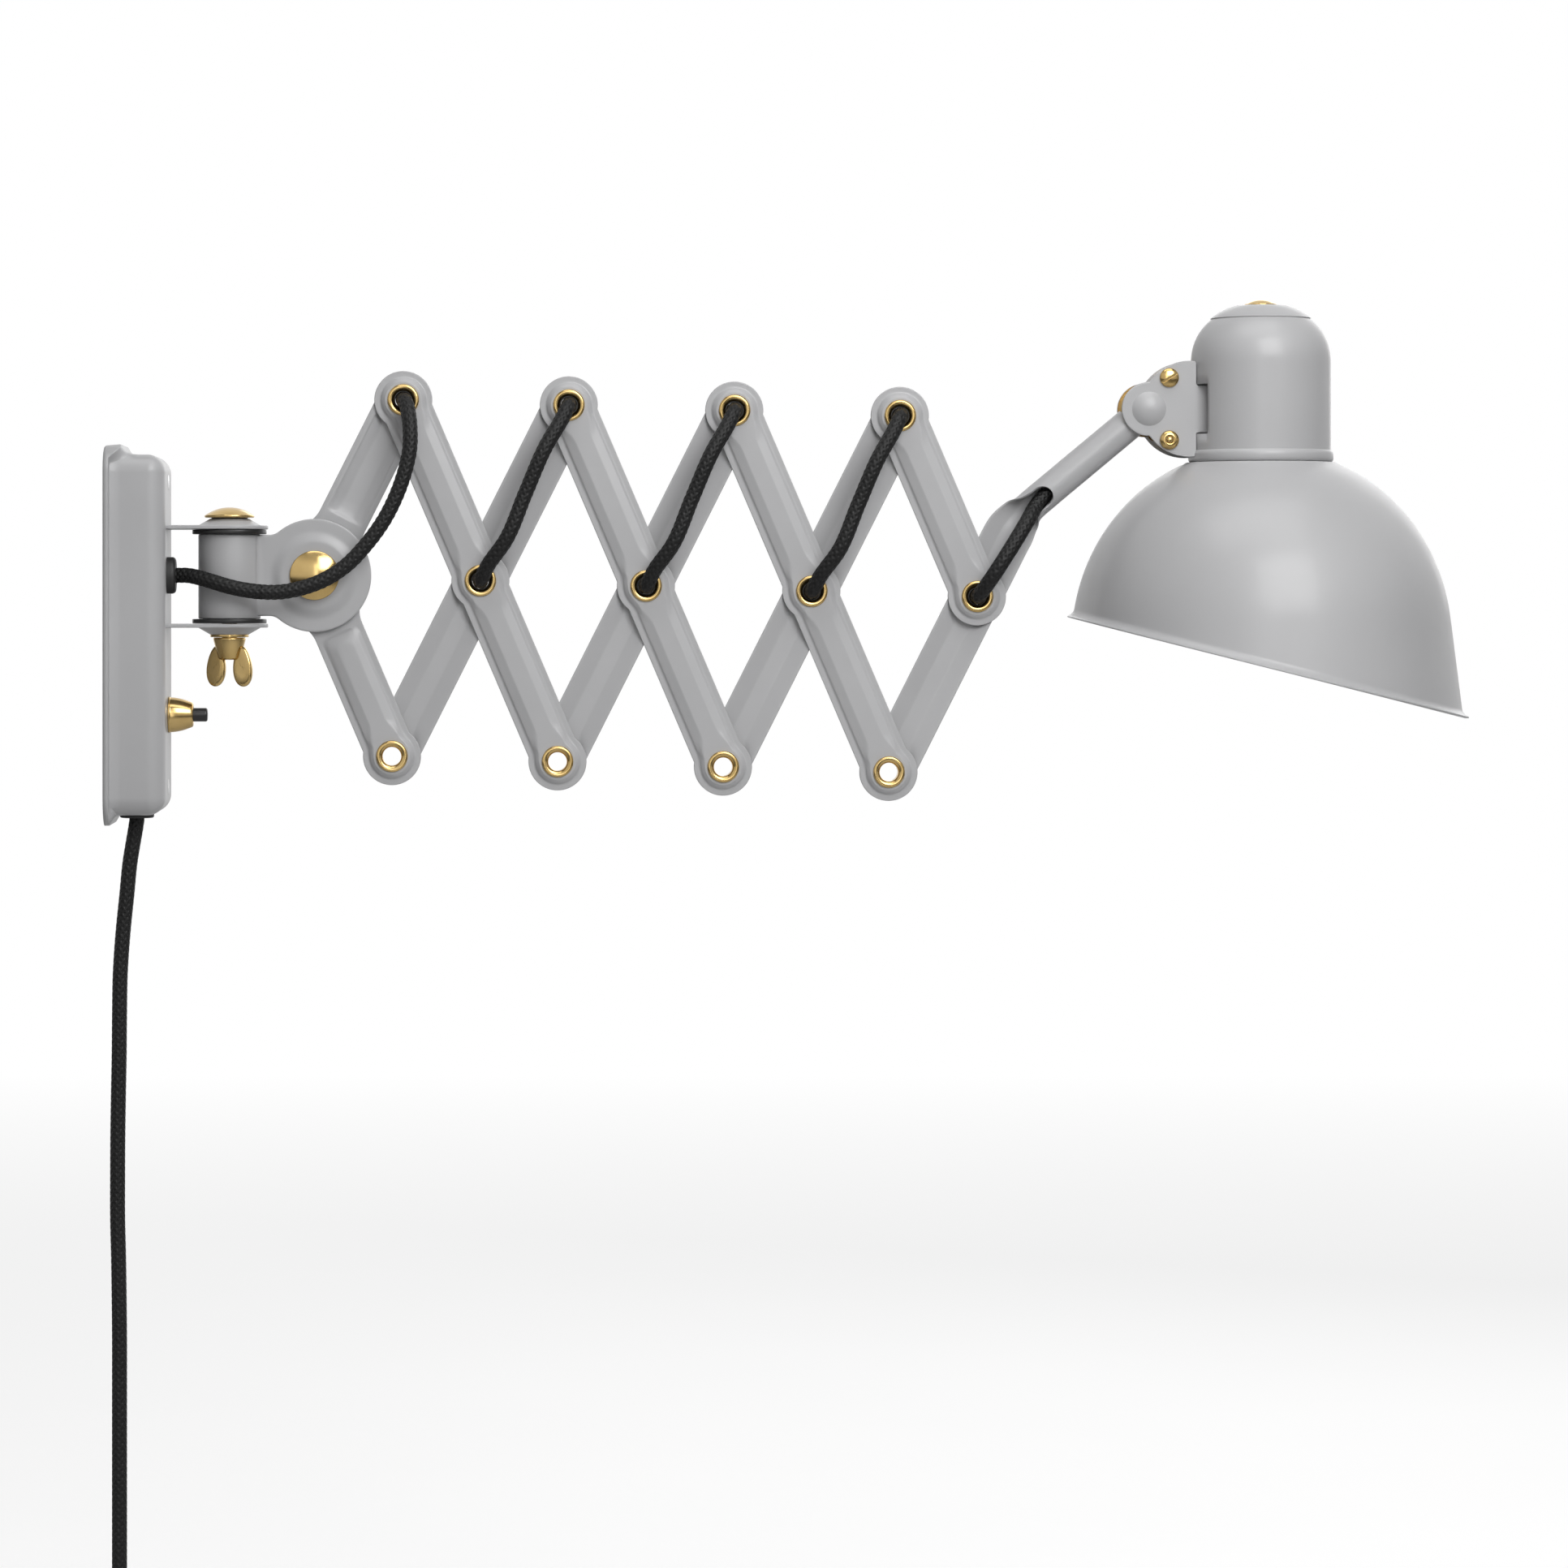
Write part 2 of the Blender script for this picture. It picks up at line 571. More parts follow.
SHANK = np.array([0, 1.5, 3, 3.8, 4.2, 4.6, 5.2, 6.2, 7.4, 8.4, 8.9, 9.2, 9.5, 9.8, 10.3, 11, 11.8, 12.4, 12.7, 12.9, 13.03, 13.1])
SHANK = np.concatenate([-SHANK[:0:-1], SHANK])
EYE = 15.25 - np.array([8.75, 7.5, 6.4, 6.0, 5.7, 5.4, 4.9, 4.4, 4.1, 3.9, 3.7, 3.5, 3.3, 3.0, 2.4, 1.6, 1.0, 0.6, 0.35, 0.18, 0.07, 0])


def link_piece(name, place, angle, side, eyes, nodes, body):
    """Discs round the eyes and strips between them. The heights follow the smooth inset from the whole outline:
    flat flange, step, slope and crown in front, and one slope to the crown behind."""
    patches = []
    for k, at in enumerate(eyes):
        sides = ([-1] if k else []) + ([1] if k < len(eyes) - 1 else [])
        patches.append(disc_patch(at, EYE, ring_angles(15.25, SHANK, sides, 3)))
    reach = np.sqrt(15.25 ** 2 - SHANK ** 2)
    for a, b in zip(eyes[:-1], eyes[1:]):
        patches.append(strip_patch(a + reach, b - reach, np.linspace(0, 1, 40), SHANK))
    plan, quads = merged(*joined(patches))
    x, z = plan.T
    r = np.min([np.hypot(x - at, z) for at in eyes], 0)
    near = ease(r, 12.5, 20)
    bar = np.where((x > eyes[0]) & (x < eyes[-1]), 13.1 - np.abs(z), -5)
    e = blend_max(bar, 15.25 - r, 2.5)
    front, back = link_heights(e, near, np.maximum(bar, 15.25 - r))
    return pressed_piece(name, plan, quads, front, back, on_layer(place, angle, side), body, "grey_paint", GREY, nodes, 42)


def base_link_piece(name, angle, side, nodes, body):
    """A flat base disc that narrows through fillets to the shank. In front the rib rises softly after the disc; behind,
    the hollow's sides fade into the disc and its crown band starts square."""
    def width(x):
        return np.where(x > 32.33, 13.1, 29.1 - np.sqrt(np.clip(256 - (32.33 - x) ** 2, 0, None)))

    shares = SHANK / 13.1
    angles = ring_angles(27.5, 27.5 * np.sin(np.radians(42.0 * shares)), [1], 3)
    radii = np.array([4.1, 8, 12, 14, 17, 20, 22, 24, 25.5, 26.5, 27, 27.25, 27.4, 27.5])
    reach = np.sqrt(15.25 ** 2 - SHANK ** 2)
    end = LINK - reach
    rows = np.linspace(0, 1, 76)
    strip = necked_strip(27.5, 42.0, width, end, rows, shares, 1)
    eye = disc_patch(LINK, EYE, ring_angles(15.25, SHANK, [-1], 3))
    plan, quads = merged(*joined([disc_patch(0, radii, angles), strip, eye]))
    x, z = plan.T
    r0, r1 = np.hypot(x, z), np.hypot(x - LINK, z)
    neck = np.hypot(x - 32.33, 29.1 - np.abs(z)) - 16
    bar = np.where(x > 32.33, 13.1 - np.abs(z), neck)
    bar = np.where((x < 20.44) | (x > LINK), -5, bar)
    hard = np.max([bar, 15.25 - r1, 27.5 - r0], 0)
    e = blend_max(bar, 15.25 - r1, 2.5)
    near = ease(r1, 12.5, 20)
    if side < 0:
        e = blend_min(e, x - 29.5, 5)
        front, back = link_heights(e, near, hard)
    else:
        e_front = blend_min(e, x - 31.0, 3)
        front, back = link_heights(e_front, near, hard)
        fade = ease(x, 24, 44)
        back = back * 0 + 2.4 * soft((e - 1.0) / (crown(e, near) + 0.1 - 1.0), [0, 1], [0, 1], 0.06) * fade
        band = ease(x, 37.6, 38.3) * (1 - ease(np.abs(z), 3.8, 4.3)) * (1 - fade)
        back = np.minimum(back + (2.4 - back) * band, front - 1.0) + edge_drop(hard, 0.35)
    return pressed_piece(name, plan, quads, front, np.maximum(back, 0), on_layer(BASE, angle, side), body, "grey_paint", GREY,
                         nodes, 42)


base_link_piece("lower_half_link", DOWN, -1, ["lower_half_link"], "lower_half")
base_link_piece("upper_half_link", UP, 1, ["upper_half_link"], "upper_half")
for i in (1, 2, 3):
    link_piece(f"front_link_{i}", mid(i), DOWN, -1, [-LINK, 0, LINK], [f"front_link_{i}"], f"front_{i}")
    link_piece(f"rear_link_{i}", mid(i), UP, 1, [-LINK, 0, LINK], [f"rear_link_{i}"], f"rear_{i}")
link_piece("front_half_link", mid(4), DOWN, -1, [-LINK, 0], ["front_half_link"], "front_4")


def lamp_arm_piece():
    """The pressed half link, then sections carried along a line that bends towards the ball. Each section is a mix of the
    link's channel and of a tube: a point keeps its share of the channel's width and of the tube's angle, and the
    angle left open is the slot, which ends in a half circle."""
    bar_end, tangent = 24.0, 14.0
    patches = []
    for at, sides in ((-LINK, [1]), (0.0, [-1, 1])):
        patches.append(disc_patch(at, EYE, ring_angles(15.25, SHANK, sides, 3)))
    reach = np.sqrt(15.25 ** 2 - SHANK ** 2)
    patches.append(strip_patch(reach - LINK, -reach, np.linspace(0, 1, 40), SHANK))
    patches.append(strip_patch(reach, np.full_like(reach, bar_end), np.linspace(0, 1, 8), SHANK))
    plan, quads = merged(*joined(patches))
    x, z = plan.T
    r = np.minimum(np.hypot(x + LINK, z), np.hypot(x, z))
    bar = np.where(x > -LINK, 13.1 - np.abs(z), -5)
    e = blend_max(bar, 15.25 - r, 2.5)
    front, back = link_heights(e, ease(r, 12.5, 20), np.maximum(bar, 15.25 - r))
    place = on_layer(mid(4), UP, 1)
    points, faces = pressed(plan, quads, front, back, place)

    turn = math.radians(UP - TUBE)
    bend = tangent / math.tan(turn / 2) * turn
    knee = BEND_L + bend - 2 * tangent
    slot = np.radians(np.linspace(0, 90, 13))
    s = np.concatenate([np.linspace(bar_end, knee + 16.5, 48)[:-1], knee + 16.5 + 5.9 * np.sin(slot),
                        knee + np.linspace(22.4, 77.5, 24)[1:]])
    open_half = np.concatenate([np.full(47, 5.9), 5.9 * np.cos(slot), np.zeros(23)])
    run = np.linspace(0, 200, 4001)
    angle = np.radians(UP) - turn * np.clip((run - BEND_L + tangent) / bend, 0, 1)
    line = np.cumsum(np.stack([np.cos(angle), np.sin(angle)], 1), 0) * (run[1] - run[0])
    line -= line[0] * 0.5
    a = np.interp(s, run, angle)[:, None]
    px, pz = (np.interp(s, run, line[:, k] - line[0, k] * 0.5)[:, None] for k in (0, 1))
    q = (s - knee)[:, None]
    v = SHANK / 13.1
    edge = np.pi - np.arcsin(open_half / 8.4)[:, None]
    edge = np.where(q < 16.5, np.radians(78 + (math.degrees(edge[0, 0]) - 78) * ease(q, 0, 9)), edge)
    mix = ease(q, -9, 15)
    near = ease(np.hypot(s[:, None], SHANK), 12.5, 20)
    inset = np.broadcast_to(13.1 - np.abs(SHANK), near.shape)
    outer_y, inner_y = link_heights(inset, near, inset)
    grids = []
    for radius, height in ((8.4, outer_y), (7.2, inner_y)):
        across = (1 - mix) * SHANK + mix * radius * np.sin(v * edge)
        depth = (1 - mix) * (0.15 + height) + mix * radius * np.cos(v * edge)
        grids.append(np.stack(np.broadcast_arrays(mid(4)[0] + px - across * np.sin(a), depth,
                                                  mid(4)[2] + pz + across * np.cos(a)), -1))
    loft = np.concatenate([grids[0], grids[1][:, ::-1]], 1)
    ends = [np.stack([grids[0][k], grids[1][k]]) for k in (0, -1)]
    all_points, all_faces = joined([(loft, True)] + [(end, False) for end in ends])
    points, faces = merged(np.concatenate([points, all_points]), np.concatenate([faces, all_faces + len(points)]))
    _, which, uses = np.unique(np.sort(faces, 1), axis=0, return_inverse=True, return_counts=True)
    faces = faces[uses[which.reshape(-1)] == 1]
    return new_piece("lamp_arm", points, faces, "arm", "grey_paint", GREY, ["lamp_arm"], 42)


lamp_arm_piece()


def eyelet_loop():
    """A brass tube whose ends roll outwards: half a circle outside, and a wider quarter circle into the bore."""
    rim = arc((7.15, 4.0), 1.15, -70, 100, 12).tolist() + arc((6.95, 3.05), 2.1, 100, 180, 10)[1:].tolist()
    front = np.array([(6.5, 2.9)] + rim)
    return np.concatenate([front, front[::-1] * [1, -1], front[:1]])


def eyelets(name, places, body):
    closed_piece(name, [turned_grid(eyelet_loop(), place, "-y", 72) for place in places], body, "brass", BRASS, [name], 60)


def linings(name, places, body):
    """Black tubes between the brass and the cord, rounded at both ends."""
    loop = rounded([(4.55, -3.3), (4.25, -3.3), (4.25, 3.3), (4.95, 3.3), (4.95, -3.3), (4.55, -3.3)], [0, 0.14, 0.14, 0.3, 0.3, 0], 4)
    closed_piece(name, [turned_grid(loop, place, "-y", 64) for place in places], body, "black_rubber", RUBBER, (), 60)


eyelets("eyelets_0", [low(1)], "lower_half")
for i in (1, 2, 3):
    eyelets(f"eyelets_{i}", [top(i), mid(i), low(i + 1)], f"front_{i}")
    linings(f"linings_{i}", [top(i), mid(i)], f"front_{i}")
eyelets("eyelets_4", [top(4), mid(4)], "front_4")
linings("linings_4", [top(4), mid(4)], "front_4")


# Head: clamp, neck, cap and shade

def clamp_pieces():
    """Two plates with a star-shaped outline: the farthest of a small disc, a large disc cut straight and a tab, with a
    round dimple over the ball; slotted screws are domes cut by a groove."""
    a = np.radians(np.arange(0, 360, 1.5))
    c, s = np.cos(a), np.abs(np.sin(a))
    big = 21.4 * c + np.sqrt(np.clip(25.2 ** 2 - (21.4 * s) ** 2, 0, None))
    big = np.where(25.2 ** 2 > (21.4 * s) ** 2, np.minimum(big, np.where(c > 0.05, 24.8 / np.maximum(c, 0.05), 99)), 0)
    tab = np.where(c > 0, np.minimum(41.1 / np.maximum(c, 1e-3), 12.1 / np.maximum(s, 1e-3)), 0)
    reach = np.max([np.full_like(a, 14.1), big, tab], 0)
    reach = sum(np.roll(reach, k) for k in (-1, 0, 1)) / 3
    rings = np.array([0, 2, 4, 5.5, 6.8, 7.8, 8.5, 8.75, 8.87, 9.0, 9.3])[:, None]
    shares = np.array([0.15, 0.35, 0.6, 0.8, 0.92, 0.96, 0.985, 1])[:, None]
    radii = np.concatenate([rings + 0 * reach, 9.3 + (reach - 9.3) * shares])
    grid = np.stack([radii * np.cos(a), radii * np.sin(a)], -1)
    plan, quads = merged(*joined([(grid, True)]))
    r = np.hypot(*plan.T)
    rim = np.interp(np.mod(np.degrees(np.arctan2(plan[:, 1], plan[:, 0])), 360), np.degrees(a), reach, period=360)
    bulge = np.sqrt(np.clip(13.9 ** 2 - r ** 2, 0, None))
    front = blend_max(np.full_like(r, 10.7), bulge, 0.08) - edge_drop(rim - r, 0.4)
    back = blend_max(np.full_like(r, 9.2), np.sqrt(np.clip(12.4 ** 2 - r ** 2, 0, None)), 0.5)
    for name, side, nodes in (("clamp_front", -1, ["clamp_plates"]), ("clamp_rear", 1, [])):
        def place(px, pz, h, side=side):
            return np.stack([BALL[0] + px, side * h, BALL[2] + pz], 1)
        pressed_piece(name, plan, quads, front, back, place, "head", "grey_paint", GREY, nodes, 40)


clamp_pieces()


def slotted_head(radius, edge, rise, place):
    """A dome on a short edge, cut by a groove: columns lie at fixed distances from the groove's middle, and the height
    is the dome's, or the groove's floor between its sides."""
    across = radius * np.array([0, 0.08, 0.123, 0.132, 0.14, 0.26, 0.4, 0.56, 0.72, 0.84, 0.92, 0.97, 0.99, 1])
    across = np.concatenate([-across[:0:-1], across])
    reach = np.sqrt(np.clip(radius ** 2 - across ** 2, 0, None))
    plan, quads = merged(*joined([strip_patch(-reach, reach, (1 - np.cos(np.linspace(0, np.pi, 33))) / 2, across)]))
    dome = edge + rise * np.sqrt(np.clip(1 - (np.hypot(*plan.T) / radius / 1.004) ** 2, 0, None))
    front = np.where(np.abs(plan[:, 1]) < 0.128 * radius, np.minimum(dome, edge + 0.3 * rise), dome)
    points, quads = merged(*pressed(plan, quads, front, np.zeros_like(front), place))
    return points, outward(points, quads)


def grouped(parts):
    """Closed forms side by side in one array of points and one of quads."""
    starts = np.cumsum([0] + [len(points) for points, _ in parts])
    return np.concatenate([points for points, _ in parts]), np.concatenate([q + k for (_, q), k in zip(parts, starts)])


def turned_form(profile, centre, axis, sides):
    points, quads = merged(*joined([turned_grid(profile, centre, axis, sides)]))
    return points, outward(points, quads)


def clamp_screws_piece():
    """Two screws through both plates: the upper one shows its slotted head, the lower one a domed nut round its tip."""
    lean = math.radians(33)

    def place(px, pz, h):
        return np.stack([BALL[0] + 10.6 + px * math.cos(lean) - pz * math.sin(lean), -10.75 - h,
                         BALL[2] + 16.3 + px * math.sin(lean) + pz * math.cos(lean)], 1)
    nut = [(0, 0), (4.6, 0), (5, 0.4), (5, 0.9), (4.7, 1.5), (4.1, 2.0), (3.3, 2.35), (2.4, 2.5), (2.15, 2.4), (2.05, 1.9),
           (1.7, 1.9), (1.6, 2.5), (1.2, 2.85), (0, 2.95)]
    shank = [(0, -21), (2.2, -21), (2.2, 0), (0, 0)]
    parts = [slotted_head(5, 0.7, 1.9, place), turned_form(nut, BALL + [10.6, -10.75, -16.3], "-y", 64)]
    parts += [turned_form(shank, BALL + [10.6, -10.75, z], "-y", 32) for z in (-16.3, 16.3)]
    return new_piece("clamp_screws", *grouped(parts), "head", "brass", BRASS, ["clamp_screws"], 40)


def cover_screws_piece():
    """Two low slotted heads almost flush with the housing's front, each on its shank."""
    parts = []
    for z in (-80, 80):
        parts.append(slotted_head(4.1, 0.1, 0.3, lambda px, pz, h, z=z: np.stack([31.66 + h, px, z + pz], 1)))
        parts.append(turned_form([(0, -9), (1.9, -9), (1.9, 0), (0, 0)], (31.6, 0, z), "x", 32))
    return new_piece("cover_screws", *grouped(parts), "housing", "steel", STEEL, ["cover_screws"], 40)


clamp_screws_piece()
cover_screws_piece()


def bell(u):
    return np.clip(1 - np.clip(u, 0, 1) ** 2.2, 0, None) ** (1 / 2.2)


def neck_piece():
    """A bell of revolution with a rounded bead at its foot and a window towards the ball; radius is a power curve
    of height, and the cells inside the window are left out."""
    half = math.degrees(math.asin(19.4 / 36.4))
    angles = np.radians(np.concatenate([np.linspace(180 - half, 180 + half, 25), np.linspace(180 + half, 540 - half, 97)[1:-1]]))
    low_z, high_z = BALL[2] - 13.2 - NECK_Z, BALL[2] + 12.9 - NECK_Z
    foot = np.array([(36.1, 0), (36.9, 0.15), (37.5, 0.8), (37.75, 1.8), (37.8, 3), (37.75, 4.2), (37.5, 5.2), (36.9, 5.9),
                     (36.45, 6.3), (36.4, 7.2), (36.4, 9), (36.4, low_z)])
    body = [(36.4, z) for z in np.linspace(low_z, high_z, 9)[1:]] + [(36.4, 46), (36.4, 51.6)]
    u = np.linspace(0, 0.775, 30)[1:]
    dome = np.stack([36.4 * bell(u), 51.6 + 31.6 * u], 1)
    profile = np.concatenate([foot, body, dome])
    r, h = profile.T
    grid = np.stack(np.broadcast_arrays(HEAD_X + r[:, None] * np.cos(angles), r[:, None] * np.sin(angles),
                                        (NECK_Z + h)[:, None]), -1)
    quads = grid_quads(*grid.shape[:2], True)
    row, column = quads[:, 0] // len(angles), quads[:, 0] % len(angles)
    inside = (column < 24) & (h[row] >= low_z - 1e-6) & (h[row] < high_z - 1e-6)
    return sheet_piece("neck_shell", grid.reshape(-1, 3), quads[~inside], np.array([HEAD_X, 0, NECK_Z + 30]), 1.0,
                       "head", "grey_paint", GREY, ["neck_shell"], 40)


neck_piece()
CAP_Z = 51.6 + 0.76 * 31.6
u = np.linspace((CAP_Z + 0.05 - 51.6) / 32.5, 0.942, 16)
cap_line = np.stack([36.4 * bell(u), 51.6 + 32.5 * u], 1)
foot_z = cap_line[0, 1] - 0.35
foot_r = 36.4 * bell((foot_z - 51.6) / 31.6)
turned("neck_cap", np.concatenate([[(5.1, cap_line[-1, 1] - 1.1), (cap_line[-1, 0] - 1.2, cap_line[-1, 1] - 1.1),
                                    (foot_r - 3.5, foot_z + 0.6), (foot_r - 1, foot_z), (foot_r - 0.08, foot_z),
                                    (foot_r + 0.22, foot_z + 0.12)], cap_line,
                                   [(cap_line[-1, 0] - 0.8, cap_line[-1, 1] + 0.12), (5.1, cap_line[-1, 1] + 0.12),
                                    (5.1, cap_line[-1, 1] - 1.1)]]),
       (HEAD_X, 0, NECK_Z), "z", "head", "grey_paint", GREY, ["neck_cap"], 128, 50)
turned("top_nut", [(0, 0), (8.2, 0)] + arc((8.1, 0.45), 0.45, -60, 60, 5).tolist()
       + (dome_line(8.05, 2.4) + [0, 0.85]).tolist(), (HEAD_X, 0, NECK_Z + cap_line[-1, 1] + 0.13), "z", "head", "brass", BRASS,
       ["top_nut"], 72, 60)


def shade_piece():
    """A dome of revolution cut by a plane that falls away from the wall and a little towards the viewer: at each angle the wall runs from the neck to the plane, flares there
    into a lip with a half-round edge, and goes back up inside, one sheet thinner."""
    slope = math.tan(math.radians(14.48))
    a = np.arange(256) / 256 * TURN
    c = np.cos(a)
    dome_z = -82.9
    rim = (-106.9 - slope * c * (98.1 + 0.125 * dome_z)) / (1 - 0.125 * slope * c) + 2.9 * np.sin(a)

    def radius(z):
        return (98.1 - 0.125 * (z - dome_z)) * bell((z - dome_z) / 89.8)

    def wall(d_from, d_to, count, out, sheet):
        t = np.linspace(0, 1, count)[:, None]
        z = d_from + (d_to - d_from) * t
        return radius(z) + out - sheet, z
    rows = [(np.full_like(a, 34.3), np.full_like(a, 5.9)), (np.full_like(a, 35.3), np.full_like(a, 5.9)),
            (np.full_like(a, 35.3), np.full_like(a, -0.1)), (np.full_like(a, radius(-0.6) - 0.9), np.full_like(a, -0.1)),
            (np.full_like(a, radius(-0.6) - 0.2), np.full_like(a, -0.25))]
    r, z = [np.stack([row[k] for row in rows]) for k in (0, 1)]
    outer_r, outer_z = wall(-0.7, rim + 5, 64, 0, 0)
    d = np.linspace(5, 1, 12)[1:, None]
    flare_z = rim + d
    flare_r = radius(flare_z) + 2.4 * ((5 - d) / 4) ** 2.4
    turn = np.radians(np.linspace(90, -90, 9))[1:, None]
    edge_r = radius(rim) + 2.4 + 0.5 * np.cos(turn)
    edge_z = rim + 0.5 + 0.5 * np.sin(turn)
    under_r = radius(rim) + np.array([1.6, 0.6, -0.4, -0.9])[:, None]
    under_z = rim + np.array([0, 0.05, 0.5, 1.4])[:, None]
    inner_r, inner_z = wall(rim + 2.4, -1.7, 60, 0, 1)
    closing_r = np.stack([np.full_like(a, 34.3), np.full_like(a, 34.3)])
    closing_z = np.stack([np.full_like(a, -1.2), np.full_like(a, 5.9)])
    r = np.concatenate([r, outer_r, flare_r, edge_r, under_r, inner_r, closing_r])
    z = np.concatenate([z, outer_z, flare_z, edge_z, under_z, inner_z, closing_z])
    grid = np.stack([HEAD_X + r * np.cos(a), r * np.sin(a), NECK_Z + z], -1)
    piece = closed_piece("shade", [(grid, True)], "head", "grey_paint", GREY, ["shade"], 40)
    piece.data.materials.append(ENAMEL)
    count = len(piece.data.polygons)
    centres, normals = np.empty(count * 3, np.float32), np.empty(count * 3, np.float32)
    piece.data.polygons.foreach_get("center", centres)
    piece.data.polygons.foreach_get("normal", normals)
    away = centres.reshape(-1, 3) / MM - [HEAD_X, 0, NECK_Z - 100]
    inner = np.einsum("ij,ij->i", away, normals.reshape(-1, 3)) < -55
    piece.data.polygons.foreach_set("material_index", inner.astype(np.int32))
    return piece


shade_piece()


# Cords, on the routes of the part's source

LEAD = np.array([
    [28.9, -10, 31.1], [33, -10, 31.1], [36.5, -10, 31.1], [42, -12, 31.1], [49, -16.5, 29.8],
    [56, -20.5, 27.8], [66, -23, 24.9], [79.5, -23.5, 22.6], [90.5, -23.5, 22.3], [101, -23.5, 24],
    [114, -23.5, 28.6], [125, -23, 35.6], [136.5, -22.5, 47.5], [145.5, -22, 60], [152, -21.5, 73],
    [156.5, -21, 86], [158.8, -20.2, 97], [159, -18.6, 107], [158.2, -15.5, 115], [157, -11, 120.5],
    [155.6, -6.5, 123], [155.1, -3, 123.3], [155.1, 0, 123.3]])
TAIL = np.array([
    [15.2, 0, -91], [15.2, 0, -96.4], [14.6, 0, -101], [13.4, 0, -108], [11.6, 0, -119],
    [9.9, 0, -136], [7.8, 0, -157], [6.4, 0, -178], [6, 0, -200], [5.8, 0, -221], [5.4, 0, -243],
    [5.1, 0, -264], [5, 0, -285], [5, 0, -306], [5.5, 0, -328], [5.8, 0, -349], [6, 0, -370],
    [6, 0, -391], [6, 0, -412], [6, 0, -433], [6, 0, -454], [6, 0, -475], [6, 0, -496], [6, 0, -517],
    [6, 0, -538], [6, 0, -550], [6, 0, -558]])


def smooth_path(points, step):
    """A line through hand-set points: each span is a cubic whose slope at a point is that of its two neighbours,
    then the whole is cut into equal steps along its length."""
    p = np.asarray(points, float)
    t = np.concatenate([[0], np.cumsum(np.linalg.norm(np.diff(p, axis=0), axis=1))])
    slope = np.gradient(p, t, axis=0)
    slope[0] = (p[1] - p[0]) / (t[1] - t[0])
    slope[-1] = (p[-1] - p[-2]) / (t[-1] - t[-2])
    s = np.linspace(0, t[-1], max(200, int(t[-1] / step) * 4))
    k = np.clip(np.searchsorted(t, s, side="right") - 1, 0, len(t) - 2)
    h = (t[k + 1] - t[k])[:, None]
    u = ((s - t[k])[:, None]) / h
    line = ((2 * u**3 - 3 * u**2 + 1) * p[k] + (u**3 - 2 * u**2 + u) * h * slope[k]
            + (3 * u**2 - 2 * u**3) * p[k + 1] + (u**3 - u**2) * h * slope[k + 1])
    run = np.concatenate([[0], np.cumsum(np.linalg.norm(np.diff(line, axis=0), axis=1))])
    at = np.linspace(0, run[-1], max(8, int(round(run[-1] / step)) + 1))
    return np.stack([np.interp(at, run, line[:, a]) for a in range(3)], 1)


def carried_normals(tangents, first):
    """A normal for each ring, the one before it made square to the new tangent, so the tube never twists."""
    normals, n = [], np.asarray(first, float)
    for t in tangents:
        n = n - (n @ t) * t
        n = n / np.linalg.norm(n)
        normals.append(n)
    return np.array(normals)


def cord_grid(path, sides, first, strands, depth):
    """A circle carried along the path and closed at its ends. Its radius falls by a depth between the strands of a
    braid: two families wind round in opposite directions, and each point takes the higher of the two."""
    t = np.gradient(path, axis=0)
    t /= np.linalg.norm(t, axis=1)[:, None]
    n = carried_normals(t, first)
    b = np.cross(t, n)
    a = np.arange(sides) / sides
    run = np.concatenate([[0], np.cumsum(np.linalg.norm(np.diff(path, axis=0), axis=1))])[:, None]
    phase = strands * a, run * strands / (TURN * CORD_R)
    lift = np.maximum(np.abs(np.sin(np.pi * (phase[0] + phase[1]))), np.abs(np.sin(np.pi * (phase[0] - phase[1]))))
    radius = (CORD_R - depth * (1 - lift))[..., None]
    ring = np.cos(TURN * a)[:, None] * n[:, None] + np.sin(TURN * a)[:, None] * b[:, None]
    grid = path[:, None] + radius * ring
    ends = [np.repeat(path[k][None, None], sides, 1) for k in (0, -1)]
    return np.concatenate([ends[0], grid, ends[1]])


cords = []


def cord_piece(name, points, node=None, body=None, step=0.42, sides=96, first=(0, 0, 1),
               strands=7, depth=0.62):
    fine = smooth_path(points, step)
    piece = closed_piece(name, [(cord_grid(fine, sides, first, strands, depth), True)], body, "black_braid", BRAID,
                         [node] if node else [], 60)
    line = smooth_path(points, 2 if len(fine) > 300 else 1.2) * MM
    return piece


def run_points(a, b, side):
    """Out of one eyelet, along the link at a distance from it, slightly bowed, and into the next eyelet."""
    d = b - a
    n = np.cross(d, [0, 1, 0])
    n /= np.linalg.norm(n)
    y = np.array([0, side, 0])
    body = [a + share * d + bow * 2.3 * n + 17 * y for share, bow in ((0.24, -1), (0.5, -0.2), (0.76, 0.45))]
    return np.array([a, a + 6 * y, a + 0.09 * d + 12.24 * y] + body + [b - 0.09 * d + 12.24 * y, b + 6 * y, b])


def arm_run_points():
    """Out of the last eyelet and down into the tube through its slot."""
    start, goal = mid(4), BEND + 16.5 * heading(TUBE)
    inside = BEND + 31 * heading(TUBE)
    d = goal - start
    body = [start + s * d - np.array([0, y * 17, 0])
            for s, y in zip((0.16, 0.3, 0.45, 0.62, 0.78, 0.92), (0.88, 1, 0.96, 0.8, 0.55, 0.2))]
    return np.array([start, start - [0, 6, 0]] + body + [inside - 6 * heading(TUBE), inside])


